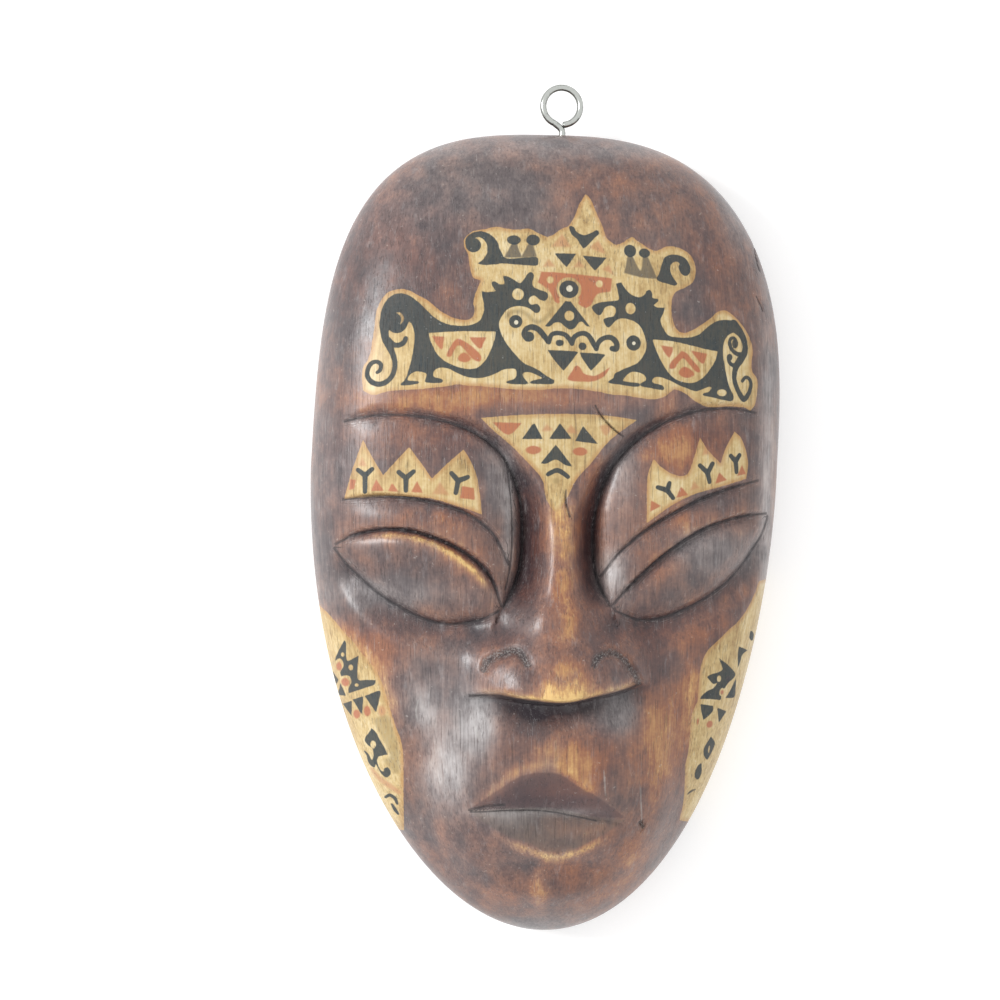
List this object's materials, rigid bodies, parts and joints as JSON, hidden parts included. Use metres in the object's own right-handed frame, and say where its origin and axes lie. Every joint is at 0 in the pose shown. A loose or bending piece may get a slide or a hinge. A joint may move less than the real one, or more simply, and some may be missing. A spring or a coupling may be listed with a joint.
{
  "type": "wooden mask",
  "caption": "Carved wooden wall mask of a face with closed eyes, hollow at the back, with a steel screw eye at the top edge to hang it by.",
  "frame": {"origin": "under the middle of the whole part, screw eye included, in the plane of the back rim", "axes": "+X across the face, +Y from chin to crown, +Z from the back rim to the nose; the mask lies face up on its rim"},
  "size_m": [0.1484, 0.2658, 0.0566],
  "materials": {
    "carved_mask": "dark stain with bare wood ornament, semi-gloss lacquer",
    "hanging_screw_eye": "bright plated steel wire"
  },
  "bodies": {
    "root": {"carved_mask": "carved_mask", "hanging_screw_eye": "hanging_screw_eye"}
  },
  "joints": []
}
